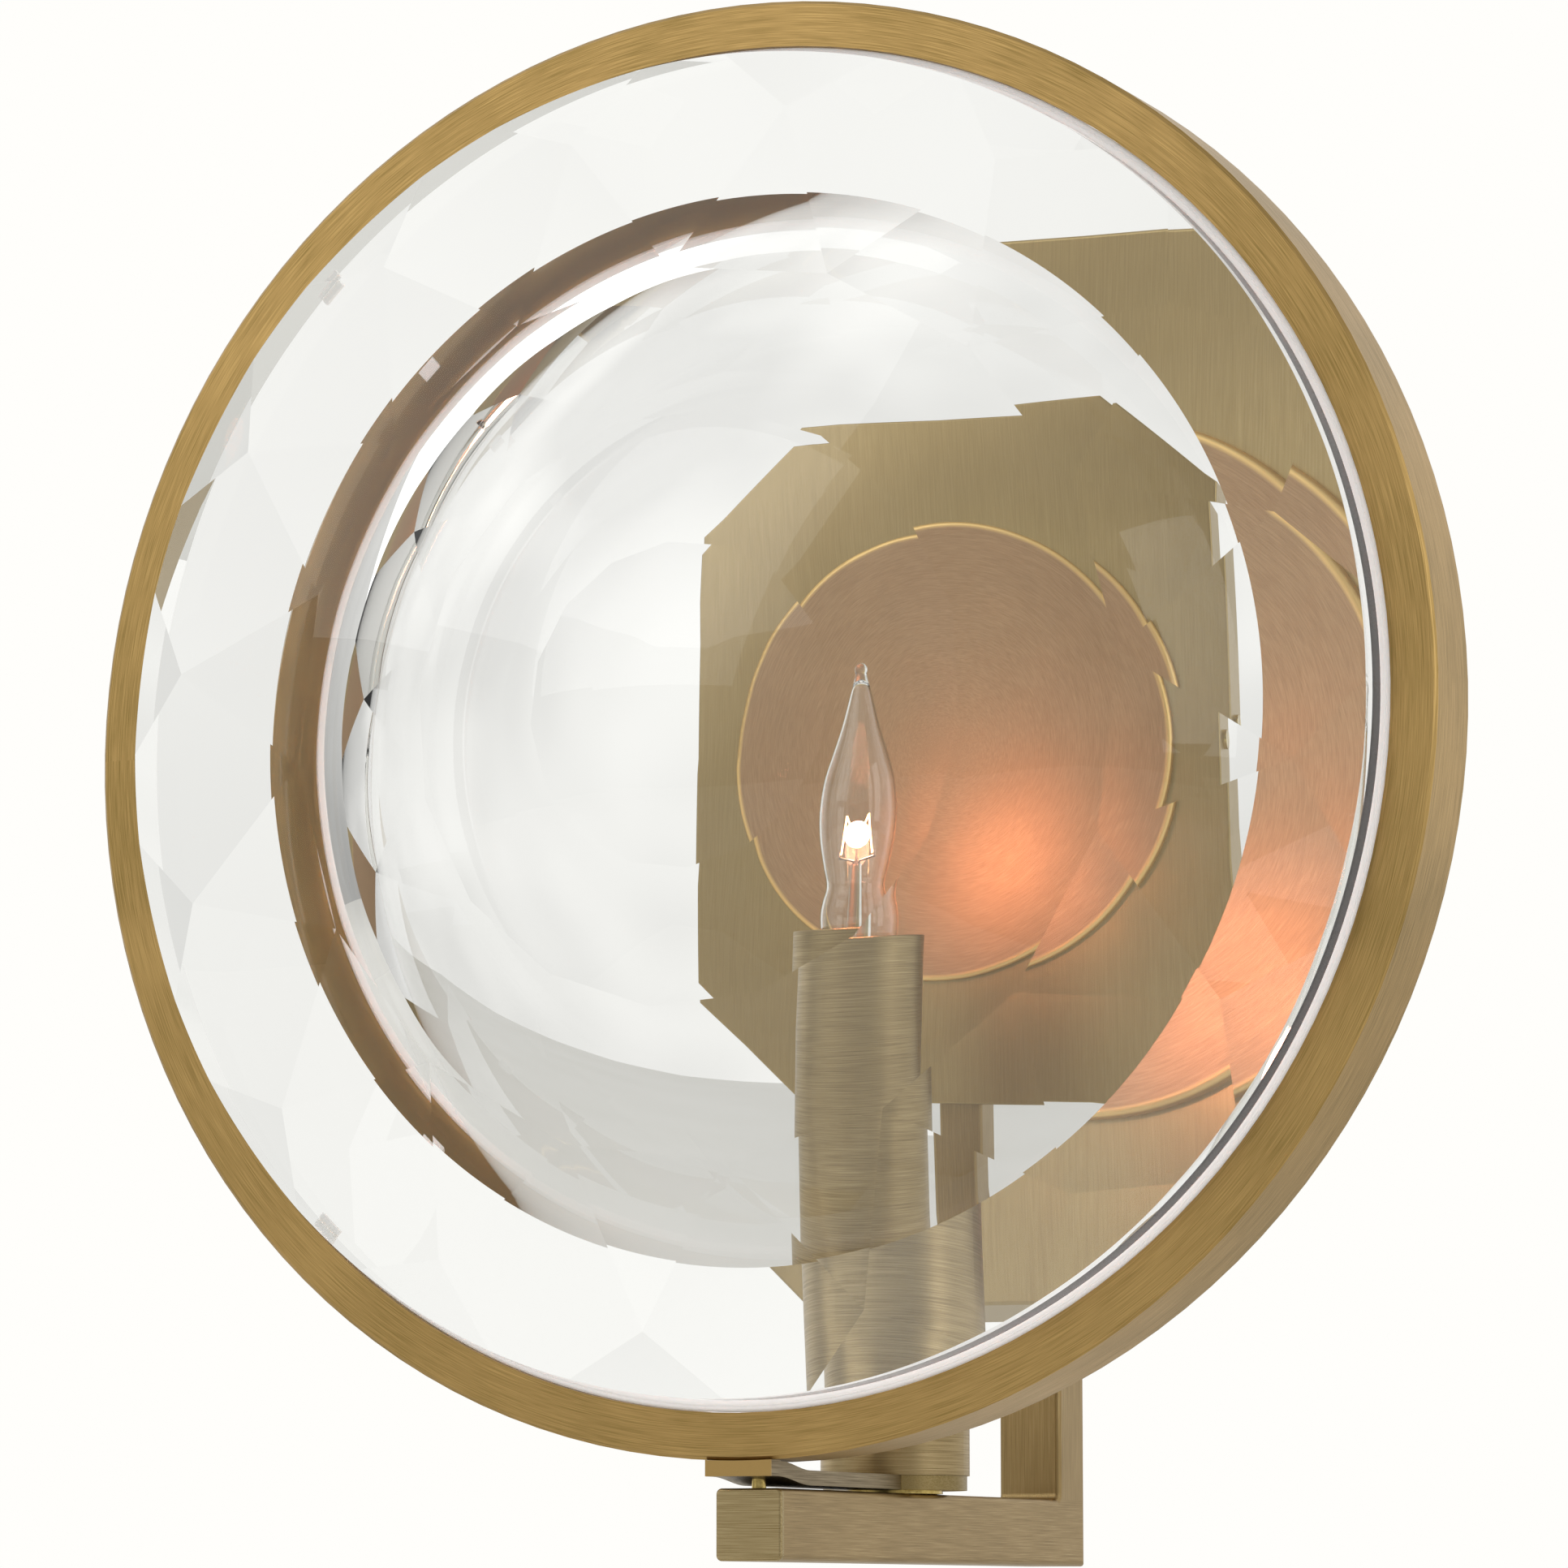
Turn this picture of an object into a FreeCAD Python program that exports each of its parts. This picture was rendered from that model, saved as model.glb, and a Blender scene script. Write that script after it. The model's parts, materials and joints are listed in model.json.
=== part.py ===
import FreeCAD, Part
import math
import os

# Wall sconce: an electric candle on an L-shaped arm behind a faceted glass lens in a brass ring.
# Millimetres. Origin on the wall at the centre of the backplate, +Z up, the lens towards -Y.

V = FreeCAD.Vector
X = V(1, 0, 0)
Y = V(0, 1, 0)
Z = V(0, 0, 1)

# ---- driving dimensions ----
ring_front_y = -182.5      # front plane of the lens ring, measured from the wall
ring_centre_z = -10.0      # ring centre against the backplate centre
ring_outer_r = 163.0
ring_face = 10.4           # width of the ring's flat face
ring_depth = 21.2
ring_chamfer = 0.8

lens_gap = 2.8             # ring bore to the glass, open but for the seal and the bumpers
lens_rim_proud = 8.2       # facet corners at the girdle, ahead of the ring's front plane
lens_pole_proud = 32.6     # apex of the faceted front, ahead of the ring's front plane
lens_back = 22.6           # flat back land, behind the ring's front plane
back_land = 33.3           # flat border round the hollow ground into the back
recess_depth = 40.0
facet_sectors = 16
facet_phase = 4.0          # degrees
facet_rows = (0.909, 0.664, 0.440, 0.240, 0.093)     # corner circles as shares of the glass radius
facet_overrun = 10.0       # how far the facets are laid out past the girdle before it is turned

seal_setback = 0.8         # seal behind the ring's front plane
seal_depth = 3.2
bumper_gap = 0.05          # seal and bumpers to the ring and to the glass
bumper_len = 5.0           # along the lens axis
bumper_inset = 1.1         # set in from the ring's back or the glass's, whichever is nearer the front

clip_count = 4
clip_width = 6.0
clip_t = 1.2
clip_reach = 1.8           # how far a clip laps over the glass
clip_foot = 7.4            # how far a clip lies on the ring
clip_edge = 1.2            # set back from the ring's outside
pad_t = 0.6
pad_edge = 0.3             # pad's outer end to the edge of the glass
clip_screw_r = 1.25
clip_screw_head_r = 2.3
clip_screw_head_t = 1.3
clip_screw_len = 6.0

bar = 15.9                 # square section of the arm
bar_wall = 1.6
bar_edge_r = 1.3
bar_corner_r = 1.6         # fillet in the inner corner of the L
bar_front_setback = 5.4    # bar end behind the ring's front plane
ring_to_bar = 5.9          # ring's lowest point down to the bar's top
leg_in_canopy = 22.0       # how far the leg runs up inside the backplate
cap_t = 1.5
cap_plug = 5.0
cap_fit = 0.05

strap_t = 3.3
strap_setback = 21.0       # where the strap levels out, behind the ring's front
strap_lift = 1.7           # how much lower the level run is than the tab's underside
tab_front_t = 4.0
tab_corner_r = 1.6         # inner corner between the tab and the strap
tab_in_ring = 3.0          # tab is laid out this far into the ring, then cut to its curve
strap_pin_r = 1.6          # brass pin that locates the strap on the arm
strap_pin_setback = 11.0
eye_inset = 0.6            # eye smaller than the sleeve that stands on it
washer_r = 11.0
washer_t = 0.8

candle_setback = 85.5      # candle axis behind the ring's front plane
sleeve_r = 17.2
sleeve_wall = 1.0
sleeve_len = 117.75
slide_fit = 0.08
lift_gap = 0.05

riser_r = 4.0
riser_wall = 1.3
riser_fit = 0.05
nut_wall = 3.0             # thread to flat
nut_t = 4.0
lock_gap = 0.55            # square locknut to the bar's inside
lock_t = 3.0
riser_tail = 1.0

shell_r = 6.05             # inside of the lamp socket's screw shell
shell_t = 0.35
socket_r = 11.0
socket_wall_gap = 0.15
socket_floor = 5.0
socket_len = 25.0
socket_top_drop = 14.0     # socket mouth below the sleeve rim
ring_pad_t = 4.0
ring_pad_drop = 5.0
tongue_w = 5.0
tongue_t = 0.6

thread_fit = 0.08
base_len = 12.5
base_wall = 0.3
base_cone = 2.0
base_tip_r = 2.2
base_tip = 1.2
contact_gap = 0.1
glass_t = 0.8
bulb_seat = 1.0            # glass neck starts this far above the socket mouth
bulb_belly_r = 11.4
bulb_neck_r = 8.5
bulb_shoulder_r = 9.8      # bulge between the neck and the foot
bulb_bead_r = 2.1          # sealed-off tip
bulb_len = 85.5            # foot of the glass to its tip
bulb_shoulder_up = 18.0    # heights above the foot
bulb_neck_up = 25.0
bulb_belly_up = 46.0
stem_r = 4.6
stem_top_r = 1.6
stem_len = 31.0
lead_r = 0.35
filament_r = 0.3
filament_foot_w = 4.8      # half the distance between its ends
filament_peak_w = 3.4      # half the distance between its two peaks
filament_h = 11.0
filament_lift = 2.6        # above the top of the stem
wire_touch = 0.05

canopy_w = 172.0
canopy_h = 214.0
canopy_cut = 34.0          # 45 degree corners
canopy_depth = 19.5
canopy_wall = 1.5
canopy_edge_r = 0.8
notch_fit = 0.15

disc_r = 70.0
disc_t = 3.0
disc_edge_r = 1.4
disc_stud_r = 1.9
disc_stud_x = 45.0
disc_stud_len = 7.5
stud_fit = 0.1
disc_nut_flats = 7.0
disc_nut_t = 3.0

arm_plate_t = 1.8
arm_plate_side = 14.0      # how far the plate stands out each side of the leg
arm_plate_above = 8.0
arm_screw_r = 1.95
arm_screw_head_r = 3.6
arm_screw_head_t = 2.2
arm_screw_skin = 0.5       # backplate wall left in front of the blind holes

crossbar_w = 22.0
crossbar_t = 2.0
crossbar_gap = 1.0         # ear to backplate wall
ear_h = 15.0
slot_spacing = 83.3
slot_w = 4.6
slot_len = 14.0
ground_x = 24.0
ground_r = 1.9
ground_head_r = 3.8
ground_head_t = 2.4
side_screw_r = 1.9
side_screw_len = 9.0
side_screw_head_r = 3.4
side_screw_head_t = 1.4
side_screw_y = -11.0
side_fit = 0.08

wire_gap = 0.35            # between each lead and the middle plane
wire_slack = 0.55          # leads to the riser's bore
wire_bend = 5.2
wire_tail = 26.0
cap_nut_r = 4.2
cap_nut_tip_r = 2.8
cap_nut_len = 15.0

# ---- worked out from the sizes above ----
lens_axis = V(0, ring_front_y, ring_centre_z)
ring_inner_r = ring_outer_r - ring_face
lens_r = ring_inner_r - lens_gap
recess_r = lens_r - back_land
bar_top = ring_centre_z - ring_outer_r - ring_to_bar
bar_bottom = bar_top - bar
bar_front = ring_front_y + bar_front_setback
canopy_front = -canopy_depth
canopy_inside = canopy_front + canopy_wall
leg_front = canopy_inside + arm_plate_t
leg_back = leg_front + bar
canopy_bottom = -canopy_h / 2
leg_top = canopy_bottom + leg_in_canopy
candle_y = ring_front_y + candle_setback
washer_top = bar_top + washer_t
eye_top = washer_top + strap_t
eye_r = sleeve_r - eye_inset
sleeve_bottom = eye_top + lift_gap
sleeve_top = sleeve_bottom + sleeve_len
sleeve_bore_r = sleeve_r - sleeve_wall
socket_top = sleeve_top - socket_top_drop
socket_bottom = socket_top - socket_len
riser_top = socket_bottom + socket_floor - 1.0
riser_bore_r = riser_r - riser_wall
nut_flats = 2 * (riser_r + nut_wall)
lock_flats = bar - 2 * (bar_wall + lock_gap)
lock_top = bar_top - bar_wall
riser_bottom = lock_top - lock_t - riser_tail
base_top = socket_top + bulb_seat
base_r = shell_r - thread_fit
shell_bottom = socket_bottom + socket_floor
wire_r = (riser_bore_r - wire_gap - wire_slack) / 2
wire_x = wire_gap + wire_r


def polygon(points):
    return Part.makePolygon(list(points) + [points[0]])


def prism(points, along):
    return Part.Face(polygon(points)).extrude(along)


def box(x0, x1, y0, y1, z0, z1):
    return Part.makeBox(x1 - x0, y1 - y0, z1 - z0, V(x0, y0, z0))


def tube(outer, inner, base, axis, length):
    solid = Part.makeCylinder(outer, length, base, axis)
    return solid.cut(Part.makeCylinder(inner, length, base, axis)) if inner else solid


def turned(points, base, axis_dir):
    """Turn a closed outline of (radius, height) points about an axis through base."""
    across = X if abs(axis_dir.x) < 0.5 else Z
    outline = [base + across * r + axis_dir * h for r, h in points]
    return Part.Face(polygon(outline)).revolve(base, axis_dir, 360)


def hexagon(flats, base, height):
    corner = flats / math.sqrt(3)
    points = [base + V(corner * math.cos(a), corner * math.sin(a), 0)
              for a in (math.radians(60 * k) for k in range(6))]
    return prism(points, Z * height)


def edges_along(shape, direction, keep):
    """Straight edges parallel to a direction that the test keeps."""
    found = []
    for edge in shape.Edges:
        straight = isinstance(edge.Curve, Part.Line)
        if straight and edge.tangentAt(edge.FirstParameter).cross(direction).Length < 1e-6 and keep(edge):
            found.append(edge)
    return found


def spin(shape, degrees):
    """A copy turned about the lens axis."""
    turned_copy = shape.copy()
    turned_copy.rotate(lens_axis, Y, degrees)
    return turned_copy


def save(name, *shapes):
    solids = [s for shape in shapes for s in shape.Solids]
    shape = solids[0] if len(solids) == 1 else Part.makeCompound(solids)
    if not shape.isValid():
        raise RuntimeError(name + " is not a valid shape")
    shape.exportStep("parts/" + name + ".step")


# ---- lens head ----
def lens_ring():
    ring = tube(ring_outer_r, ring_inner_r, lens_axis, Y, ring_depth)
    rims = [e for e in ring.Edges
            if isinstance(e.Curve, Part.Circle) and abs(e.Curve.Radius - ring_outer_r) < 1e-6]
    ring = ring.makeChamfer(ring_chamfer, rims)
    for hole in clip_cylinders(clip_screw_r, ring_depth - clip_screw_len, clip_screw_len + 1.0):
        ring = ring.cut(hole)
    return ring


def facet_vertices():
    """Rows of corners on one sphere: each row is turned half a sector from the last."""
    rise = lens_pole_proud - lens_rim_proud
    sphere_r = (lens_r ** 2 + rise ** 2) / (2 * rise)
    rows = []
    radii = [lens_r + facet_overrun] + [lens_r * share for share in facet_rows]
    for k, r in enumerate(radii):
        depth = -lens_pole_proud + sphere_r - math.sqrt(sphere_r ** 2 - r ** 2)
        step = 360.0 / facet_sectors
        turn = facet_phase + (k % 2) * step / 2
        angles = [math.radians(turn + step * j) for j in range(facet_sectors)]
        rows.append([lens_axis + V(r * math.cos(a), depth, r * math.sin(a)) for a in angles])
    return rows


def lens():
    rows = facet_vertices()
    count = facet_sectors
    apex = lens_axis - Y * lens_pole_proud
    back = [V(p.x, ring_front_y + lens_back, p.z) for p in rows[0]]
    faces = [Part.Face(polygon(back))]
    for j in range(count):
        n = (j + 1) % count
        faces.append(Part.Face(polygon([rows[0][j], rows[0][n], back[n], back[j]])))
        faces.append(Part.Face(polygon([rows[-1][j], rows[-1][n], apex])))
    for k in range(len(rows) - 1):
        outer = rows[k]
        inner = rows[k + 1]
        lead = k % 2
        for j in range(count):
            n = (j + 1) % count
            tip = inner[(j + lead) % count]
            faces.append(Part.Face(polygon([outer[j], outer[n], tip])))
            left = inner[(j + lead - 1) % count]
            faces.append(Part.Face(polygon([outer[j], tip, left])))
    blank = Part.makeSolid(Part.makeShell(faces))
    if blank.Volume < 0:
        blank.reverse()
    front = lens_axis - Y * (lens_pole_proud + 5.0)
    girdle = Part.makeCylinder(lens_r, lens_pole_proud + lens_back + 10.0, front, Y)
    glass = blank.common(girdle)
    sphere_r = (recess_r ** 2 + recess_depth ** 2) / (2 * recess_depth)
    centre = lens_axis + Y * (lens_back - recess_depth + sphere_r)
    return glass.cut(Part.makeSphere(sphere_r, centre))


def gap_band(setback, depth):
    """Ring-shaped band that fills the gap between ring and glass, along the lens axis."""
    return tube(ring_inner_r - bumper_gap, lens_r + bumper_gap, lens_axis + Y * setback, Y, depth)


def lens_seal():
    return gap_band(seal_setback, seal_depth)


def lens_bumpers():
    """Short blocks between ring and glass, one under each clip."""
    setback = min(ring_depth, lens_back) - bumper_inset - bumper_len
    start = ring_front_y + setback
    half = clip_width / 2
    window = box(0, ring_outer_r, start, start + bumper_len, ring_centre_z - half, ring_centre_z + half)
    block = gap_band(setback, bumper_len).common(window)
    return [spin(block, 45 + 360.0 / clip_count * k) for k in range(clip_count)]


def clip_cylinders(radius, start, length):
    """One cylinder for each clip screw, along the lens axis."""
    foot_mid = ring_outer_r - clip_edge - clip_foot / 2
    first = Part.makeCylinder(radius, length, lens_axis + X * foot_mid + Y * start, Y)
    return [spin(first, 45 + 360.0 / clip_count * k) for k in range(clip_count)]


def lens_clips():
    outer = ring_outer_r - clip_edge
    lap = lens_back + pad_t
    half = clip_width / 2
    axis_y = ring_front_y
    foot = box(outer - clip_foot, outer, axis_y + ring_depth, axis_y + ring_depth + clip_t, -half, half)
    low = axis_y + min(ring_depth, lap)
    high = axis_y + max(ring_depth, lap) + clip_t
    riser = box(outer - clip_foot - clip_t, outer - clip_foot, low, high, -half, half)
    finger = box(lens_r - clip_reach, outer - clip_foot, axis_y + lap, axis_y + lap + clip_t, -half, half)
    clip = foot.fuse([riser, finger]).removeSplitter()
    clip.translate(Z * ring_centre_z)
    holes = clip_cylinders(clip_screw_r, ring_depth - 1.0, clip_t + 2.0)
    return [spin(clip, 45 + 360.0 / clip_count * k).cut(holes[k]) for k in range(clip_count)]


def clip_pads():
    start = ring_front_y + lens_back
    half = clip_width / 2
    pad = box(lens_r - clip_reach, lens_r - pad_edge, start, start + pad_t,
              ring_centre_z - half, ring_centre_z + half)
    return [spin(pad, 45 + 360.0 / clip_count * k) for k in range(clip_count)]


def clip_screws():
    seat = ring_depth + clip_t
    heads = clip_cylinders(clip_screw_head_r, seat, clip_screw_head_t)
    shanks = clip_cylinders(clip_screw_r, seat - clip_screw_len, clip_screw_len)
    return [head.fuse(shank).removeSplitter() for head, shank in zip(heads, shanks)]


def gentle_step(start, end):
    """Smooth S from one level to another, level at both ends."""
    curve = Part.BSplineCurve()
    curve.interpolate(Points=[start, (start + end) * 0.5, end], InitialTangent=Y, FinalTangent=Y)
    return curve.toShape()


def lens_bracket():
    """Tab under the ring, a strap that dips onto the arm, and a round eye on the candle axis."""
    y0 = ring_front_y
    back = y0 + tab_front_t
    level = y0 + strap_setback
    inside = ring_centre_z - ring_outer_r + tab_in_ring
    tab_bottom = washer_top + strap_lift
    tab_top = eye_top + strap_lift
    slant = tab_corner_r * (1 - math.sqrt(0.5))
    corner_high = V(0, back, tab_top + tab_corner_r)
    corner_low = V(0, back + tab_corner_r, tab_top)
    profile = [
        Part.makeLine(V(0, y0, inside), V(0, y0, tab_bottom)),
        Part.makeLine(V(0, y0, tab_bottom), V(0, back, tab_bottom)),
        gentle_step(V(0, back, tab_bottom), V(0, level, washer_top)),
        Part.makeLine(V(0, level, washer_top), V(0, candle_y, washer_top)),
        Part.makeLine(V(0, candle_y, washer_top), V(0, candle_y, eye_top)),
        Part.makeLine(V(0, candle_y, eye_top), V(0, level, eye_top)),
        gentle_step(corner_low, V(0, level, eye_top)),
        Part.Arc(corner_low, V(0, back + slant, tab_top + slant), corner_high).toShape(),
        Part.makeLine(corner_high, V(0, back, inside)),
        Part.makeLine(V(0, back, inside), V(0, y0, inside)),
    ]
    strap = Part.Face(Part.Wire(Part.__sortEdges__(profile))).extrude(X * bar)
    strap.translate(X * (-bar / 2))
    centre = V(0, candle_y, washer_top)
    bracket = strap.fuse(Part.makeCylinder(eye_r, strap_t, centre, Z)).removeSplitter()
    bracket = bracket.cut(Part.makeCylinder(ring_outer_r, ring_depth * 2, lens_axis - Y * 2.0, Y))
    return bracket.cut(Part.makeCylinder(riser_r + riser_fit, strap_t + 2.0, centre - Z, Z))


def strap_pin():
    """Pin in the arm's upper wall, with its top cut to the strap's underside."""
    low = bar_top - bar_wall
    base = V(0, ring_front_y + strap_pin_setback, low)
    pin = Part.makeCylinder(strap_pin_r, washer_top + strap_lift - low, base, Z)
    return pin.cut(lens_bracket())


# ---- arm ----
def arm_outline(inset):
    """The L in the YZ plane, set in from the outside by inset, open at its two ends."""
    start = bar_front + cap_t
    return [V(0, start, bar_bottom + inset), V(0, leg_back - inset, bar_bottom + inset),
            V(0, leg_back - inset, leg_top), V(0, leg_front + inset, leg_top),
            V(0, leg_front + inset, bar_top - inset), V(0, start, bar_top - inset)]


def arm():
    body = prism(arm_outline(0), X * bar)
    body.translate(X * (-bar / 2))
    corner = edges_along(body, X, lambda e: abs(e.CenterOfMass.y - leg_front) < 1e-3
                         and abs(e.CenterOfMass.z - bar_top) < 1e-3)
    body = body.makeFillet(bar_corner_r, corner)
    long_edges = [e for e in body.Edges if abs(abs(e.CenterOfMass.x) - bar / 2) < 1e-6
                  and e.BoundBox.YMin > bar_front + cap_t - 1e-3 + (0 if e.BoundBox.YLength > 1 else 1.0)
                  and not (e.BoundBox.ZLength < 1e-6 and abs(e.BoundBox.ZMin - leg_top) < 1e-3)]
    body = body.makeFillet(bar_edge_r, long_edges)
    hollow = prism(arm_outline(bar_wall), X * (bar - 2 * bar_wall))
    hollow.translate(X * (-(bar - 2 * bar_wall) / 2))
    body = body.cut(hollow)
    pin_place = V(0, ring_front_y + strap_pin_setback, bar_top - bar_wall - 1.0)
    body = body.cut(Part.makeCylinder(strap_pin_r, bar_wall + 2.0, pin_place, Z))
    riser_place = at_candle(bar_top - bar_wall - 1.0)
    return body.cut(Part.makeCylinder(riser_r + riser_fit, bar_wall + 2.0, riser_place, Z))


def arm_end_cap():
    half = bar / 2
    plate = box(-half, half, bar_front, bar_front + cap_t, bar_bottom, bar_top)
    edges = edges_along(plate, Y, lambda e: True)
    plate = plate.makeFillet(bar_edge_r, edges)
    front = [e for e in plate.Edges if e.BoundBox.YMax < bar_front + 1e-3]
    plate = plate.makeFillet(bar_edge_r * 0.5, front)
    inner = half - bar_wall - cap_fit
    mid = (bar_top + bar_bottom) / 2
    plug = box(-inner, inner, bar_front + cap_t, bar_front + cap_t + cap_plug, mid - inner, mid + inner)
    return plate.fuse(plug)


# ---- candle ----
def at_candle(z):
    return V(0, candle_y, z)


def spacer_washer():
    return tube(washer_r, riser_r + riser_fit, at_candle(bar_top), Z, washer_t)


def riser_tube():
    return tube(riser_r, riser_bore_r, at_candle(riser_bottom), Z, riser_top - riser_bottom)


def riser_nut():
    return hexagon(nut_flats, at_candle(eye_top), nut_t).cut(
        Part.makeCylinder(riser_r, nut_t, at_candle(eye_top), Z))


def riser_locknut():
    half = lock_flats / 2
    nut = box(-half, half, candle_y - half, candle_y + half, lock_top - lock_t, lock_top)
    return nut.cut(Part.makeCylinder(riser_r, lock_t, at_candle(lock_top - lock_t), Z))


def candle_sleeve():
    sleeve = tube(sleeve_r, sleeve_bore_r, at_candle(sleeve_bottom), Z, sleeve_len)
    rim = [e for e in sleeve.Edges if isinstance(e.Curve, Part.Circle)
           and e.BoundBox.ZMin > sleeve_top - 1e-3]
    return sleeve.makeFillet(sleeve_wall * 0.3, rim)


def socket_body():
    bore = shell_r + shell_t + socket_wall_gap
    body = Part.makeCylinder(socket_r, socket_len, at_candle(socket_bottom), Z)
    body = body.cut(Part.makeCylinder(bore, socket_len, at_candle(shell_bottom), Z))
    return body.cut(Part.makeCylinder(riser_r, socket_floor - 1.0, at_candle(socket_bottom), Z)).cut(
        Part.makeCylinder(riser_bore_r, socket_floor, at_candle(socket_bottom), Z))


def socket_shell():
    length = socket_top - shell_bottom - 1.5
    return tube(shell_r + shell_t, shell_r, at_candle(shell_bottom + 1.0), Z, length)


def base_bottom():
    return base_top - base_len - base_cone - base_tip


def socket_contact():
    top = base_bottom() - contact_gap
    foot = box(riser_bore_r, riser_bore_r + 2.2, candle_y - tongue_w / 2, candle_y + tongue_w / 2,
               shell_bottom, shell_bottom + tongue_t)
    post = box(riser_bore_r, riser_bore_r + tongue_t, candle_y - tongue_w / 2, candle_y + tongue_w / 2,
               shell_bottom, top)
    tongue = box(-riser_bore_r, riser_bore_r + tongue_t, candle_y - tongue_w / 2, candle_y + tongue_w / 2,
                 top - tongue_t, top)
    return foot.fuse([post, tongue]).removeSplitter()


def sleeve_spacer():
    base = at_candle(socket_top - ring_pad_drop - ring_pad_t)
    return tube(sleeve_bore_r - slide_fit, socket_r, base, Z, ring_pad_t)


# ---- bulb ----
def bulb_side(inset):
    """Side of the flame-shaped glass, from its foot to its drawn-out tip on the axis."""
    taper = bulb_len - bulb_belly_up
    shape = ((0.0, base_r - 0.05), (bulb_shoulder_up * 0.3, base_r + 1.2),
             (bulb_shoulder_up, bulb_shoulder_r), (bulb_neck_up, bulb_neck_r),
             (bulb_belly_up - 8.0, bulb_belly_r * 0.975), (bulb_belly_up, bulb_belly_r),
             (bulb_belly_up + taper * 0.38, bulb_belly_r * 0.74),
             (bulb_belly_up + taper * 0.71, bulb_belly_r * 0.36),
             (bulb_len - 3.4, bulb_bead_r * 0.88), (bulb_len - 1.5, bulb_bead_r))
    side = [V(max(r - inset, 0.25), candle_y, base_top + height) for height, r in shape]
    side.append(at_candle(base_top + bulb_len - inset))
    curve = Part.BSplineCurve()
    curve.interpolate(side)
    return curve, side[0], side[-1]


def bulb_glass():
    outer, foot, tip = bulb_side(0)
    inner, inner_foot, inner_tip = bulb_side(glass_t)
    edges = [outer.toShape(), Part.LineSegment(tip, inner_tip).toShape(), inner.toShape(),
             Part.LineSegment(inner_foot, foot).toShape()]
    outline = Part.Wire(Part.__sortEdges__(edges))
    return Part.Face(outline).revolve(at_candle(base_top), Z, 360)


def bulb_stem():
    outline = [(0, 0.2), (stem_r, 0.2), (stem_r, 1.4), (stem_r * 0.55, 5.0),
               (stem_top_r * 1.2, stem_len * 0.7), (stem_top_r, stem_len), (0, stem_len)]
    return turned(outline, at_candle(base_top), Z)


def bulb_shell():
    return tube(base_r, base_r - base_wall, at_candle(base_top - base_len), Z, base_len)


def bulb_insulator():
    bottom = base_top - base_len
    inner = base_r - base_wall
    outline = [(0, 0), (inner, 0), (inner, 1.5), (0, 1.5)]
    cone = [(0, -base_cone), (base_tip_r, -base_cone), (base_r, 0), (0, 0)]
    top = turned(outline, at_candle(bottom), Z)
    return top.fuse(turned(cone, at_candle(bottom), Z)).removeSplitter()


def bulb_contact():
    dome = [(0, -base_tip), (base_tip_r * 0.5, -base_tip), (base_tip_r * 0.9, -base_tip * 0.4),
            (base_tip_r * 0.9, 0), (0, 0)]
    return turned(dome, at_candle(base_top - base_len - base_cone), Z)


def rod(start, end, radius):
    along = end - start
    return Part.makeCylinder(radius, along.Length, start, along)


def wire_through(points, radius):
    """Straight round rods joined by balls at the bends."""
    solid = rod(points[0], points[1], radius)
    for a, b in zip(points[1:], points[2:]):
        solid = solid.fuse([rod(a, b, radius), Part.makeSphere(radius * 1.02, a)])
    return solid.removeSplitter()


def filament_points():
    low = base_top + stem_len + filament_lift
    high = low + filament_h
    across = ((-filament_foot_w, low), (-filament_peak_w, high), (0, low + filament_h * 0.3),
              (filament_peak_w, high), (filament_foot_w, low))
    return [V(x, candle_y, z) for x, z in across]


def bulb_filament():
    return wire_through(filament_points(), filament_r)


def bulb_leads():
    """Two lead wires and one centre support, standing in the stem's pinch."""
    points = filament_points()
    z_pinch = base_top + stem_len
    out = filament_foot_w + filament_r + lead_r + wire_touch
    solids = []
    for side in (-1, 1):
        foot = V(side * stem_top_r * 0.5, candle_y, z_pinch)
        bend = foot + Z * 0.8
        knee = V(side * out, candle_y, points[0].z - 0.6)
        solids.append(wire_through([foot, bend, knee, V(side * out, candle_y, points[0].z + 1.0)], lead_r))
    solids.append(rod(at_candle(z_pinch), at_candle(points[2].z - 6 * filament_r), lead_r))
    return solids


# ---- backplate ----
def octagon(inset, y):
    w = canopy_w / 2 - inset
    h = canopy_h / 2 - inset
    c = canopy_cut - inset * (2 - math.sqrt(2))
    corners = [(w, h - c), (w - c, h), (-(w - c), h), (-w, h - c),
               (-w, -(h - c)), (-(w - c), -h), (w - c, -h), (w, -(h - c))]
    return [V(x, y, z) for x, z in corners]


def canopy():
    body = prism(octagon(0, 0), Y * canopy_front)
    front = [e for e in body.Edges if e.BoundBox.YMax < canopy_front + 1e-3]
    body = body.makeFillet(canopy_edge_r, front)
    body = body.cut(prism(octagon(canopy_wall, 0), Y * canopy_inside))
    half = bar / 2 + notch_fit
    notch_top = canopy_bottom + canopy_wall + 1.0
    body = body.cut(box(-half, half, leg_front - notch_fit, 0, canopy_bottom - 1.0, notch_top))
    for x in (-disc_stud_x, disc_stud_x):
        start = V(x, canopy_front - 1.0, 0)
        body = body.cut(Part.makeCylinder(disc_stud_r + stud_fit, canopy_wall + 2.0, start, Y))
    for place in arm_screw_places():
        start = place + Y * (canopy_front + arm_screw_skin)
        body = body.cut(Part.makeCylinder(arm_screw_r, canopy_wall, start, Y))
    for side in (-1, 1):
        start = V(side * (canopy_w / 2 - canopy_wall - 1.0), side_screw_y, 0)
        body = body.cut(Part.makeCylinder(side_screw_r + side_fit, canopy_wall + 2.0, start, X * side))
    return body


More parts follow.
